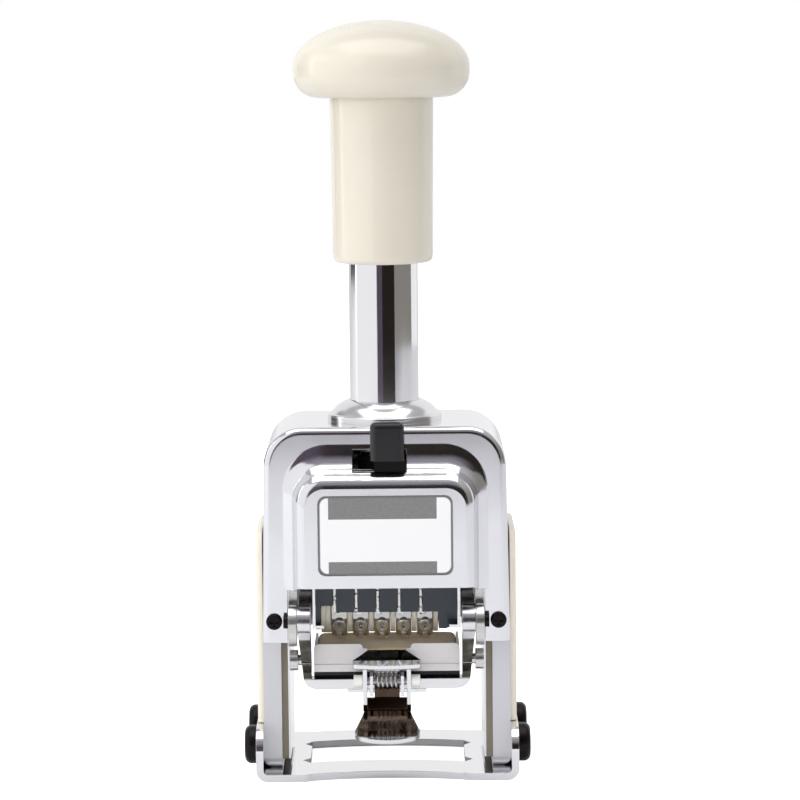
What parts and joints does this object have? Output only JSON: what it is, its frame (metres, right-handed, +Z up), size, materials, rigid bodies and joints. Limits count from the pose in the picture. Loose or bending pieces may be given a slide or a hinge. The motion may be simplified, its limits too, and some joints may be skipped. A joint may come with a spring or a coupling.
{
  "type": "numbering machine",
  "caption": "Hand numbering machine: a sprung plunger with number wheels prints through a window in its base as the ink pad swings clear.",
  "frame": {"origin": "middle of the outline, on the face that the base plate stands on", "axes": "+X to the right-hand side seen from the front, -Y to the front with the label, +Z up along the plunger"},
  "size_m": [0.0624, 0.0452, 0.1632],
  "materials": {
    "chrome": "bright chrome plating",
    "satin_steel": "satin nickel plating",
    "blued_steel": "smooth dark blued steel",
    "black_steel": "gloss black oxide",
    "black_plastic": "matte black moulded plastic",
    "gloss_ivory": "polished ivory moulded plastic",
    "ivory": "smooth ivory moulded plastic",
    "label_enamel": "light enamel with two grey bands",
    "pad_felt": "ink-soaked felt",
    "spring_steel": "bright spring wire",
    "dark_rubber": "black rubber",
    "tray_steel": "fine satin steel sheet"
  },
  "bodies": {
    "housing": {"base_plate": "chrome", "foot_screws": "black_steel", "leg_left": "satin_steel", "leg_right": "satin_steel", "guide_liner_left": "ivory", "guide_liner_right": "ivory", "guide_plate_left": "chrome", "guide_plate_right": "chrome", "housing_shell": "chrome", "housing_screws": "black_steel", "label_plate": "label_enamel", "rear_cover": "chrome", "rear_cover_screws": "black_steel", "side_cover_left": "ivory", "side_cover_right": "ivory", "guide_tube": "chrome", "tube_collar": "chrome", "tube_nut": "satin_steel", "spring_seat": "satin_steel", "pivot_bracket_left": "chrome", "pivot_bracket_right": "chrome", "pivot_screws": "black_steel", "mode_quadrant": "blued_steel"},
    "plunger": {"knob_cap": "gloss_ivory", "grip_sleeve": "gloss_ivory", "plunger_rod": "satin_steel", "return_spring": "spring_steel", "yoke": "chrome", "stroke_bumper": "dark_rubber", "wheel_axle": "satin_steel", "wheel_plate_left": "chrome", "wheel_plate_right": "chrome", "comb_bar": "blued_steel", "detent_comb": "chrome", "spacer_rings": "ivory", "end_plates": "blued_steel"},
    "feed": {"feed_rocker": "satin_steel"},
    "pad": {"pad_frame": "chrome", "swing_bosses": "satin_steel", "pad_tray": "tray_steel", "ink_pad": "pad_felt", "clip_holder": "chrome", "clip_pin": "satin_steel", "clip_bushes": "satin_steel", "clip_spring": "spring_steel"},
    "clip": {"clip_lever": "chrome"},
    "selector": {"mode_lever": "blued_steel", "mode_lever_cap": "black_plastic"},
    "wheel_1": {"number_wheel_1": "chrome", "ratchet_ring_1": "ivory"},
    "wheel_2": {"number_wheel_2": "chrome", "ratchet_ring_2": "ivory"},
    "wheel_3": {"number_wheel_3": "chrome", "ratchet_ring_3": "ivory"},
    "wheel_4": {"number_wheel_4": "chrome", "ratchet_ring_4": "ivory"},
    "wheel_5": {"number_wheel_5": "chrome", "ratchet_ring_5": "ivory"}
  },
  "joints": [
    {"name": "plunger_slide", "type": "slide", "parent": "housing", "child": "plunger", "axis": [0, 0, -1], "range_m": [0, 0.0275], "stiffness_N_per_m": 300, "springref_m": -0.015, "deforming": ["return_spring"]},
    {"name": "pad_swing", "type": "hinge", "parent": "housing", "child": "pad", "pos_m": [0, -0.0175, 0.0345], "axis": [-1, 0, 0], "range_deg": [0, 100]},
    {"name": "feed_swing", "type": "hinge", "parent": "plunger", "child": "feed", "pos_m": [0, 0, 0.0345], "axis": [1, 0, 0], "range_deg": [0, 30]},
    {"name": "clip_pivot", "type": "hinge", "parent": "pad", "child": "clip", "pos_m": [0, -0.016, 0.021], "axis": [1, 0, 0], "range_deg": [0, 15], "stiffness_Nm_per_rad": 0.02, "springref_deg": -17.19},
    {"name": "mode_slide", "type": "slide", "parent": "housing", "child": "selector", "axis": [-1, 0, 0], "range_m": [0, 0.0046]},
    {"name": "wheel_1_turn", "type": "hinge", "parent": "plunger", "child": "wheel_1", "pos_m": [-0.0104, 0, 0.0345], "axis": [1, 0, 0], "continuous": true},
    {"name": "wheel_2_turn", "type": "hinge", "parent": "plunger", "child": "wheel_2", "pos_m": [-0.0057, 0, 0.0345], "axis": [1, 0, 0], "continuous": true},
    {"name": "wheel_3_turn", "type": "hinge", "parent": "plunger", "child": "wheel_3", "pos_m": [-0.001, 0, 0.0345], "axis": [1, 0, 0], "continuous": true},
    {"name": "wheel_4_turn", "type": "hinge", "parent": "plunger", "child": "wheel_4", "pos_m": [0.0037, 0, 0.0345], "axis": [1, 0, 0], "continuous": true},
    {"name": "wheel_5_turn", "type": "hinge", "parent": "plunger", "child": "wheel_5", "pos_m": [0.0084, 0, 0.0345], "axis": [1, 0, 0], "continuous": true}
  ],
  "couplings": [
    {"joint": "pad_swing", "follows": "plunger_slide", "rad_per_m": 63.4},
    {"joint": "feed_swing", "follows": "plunger_slide", "rad_per_m": 19}
  ]
}
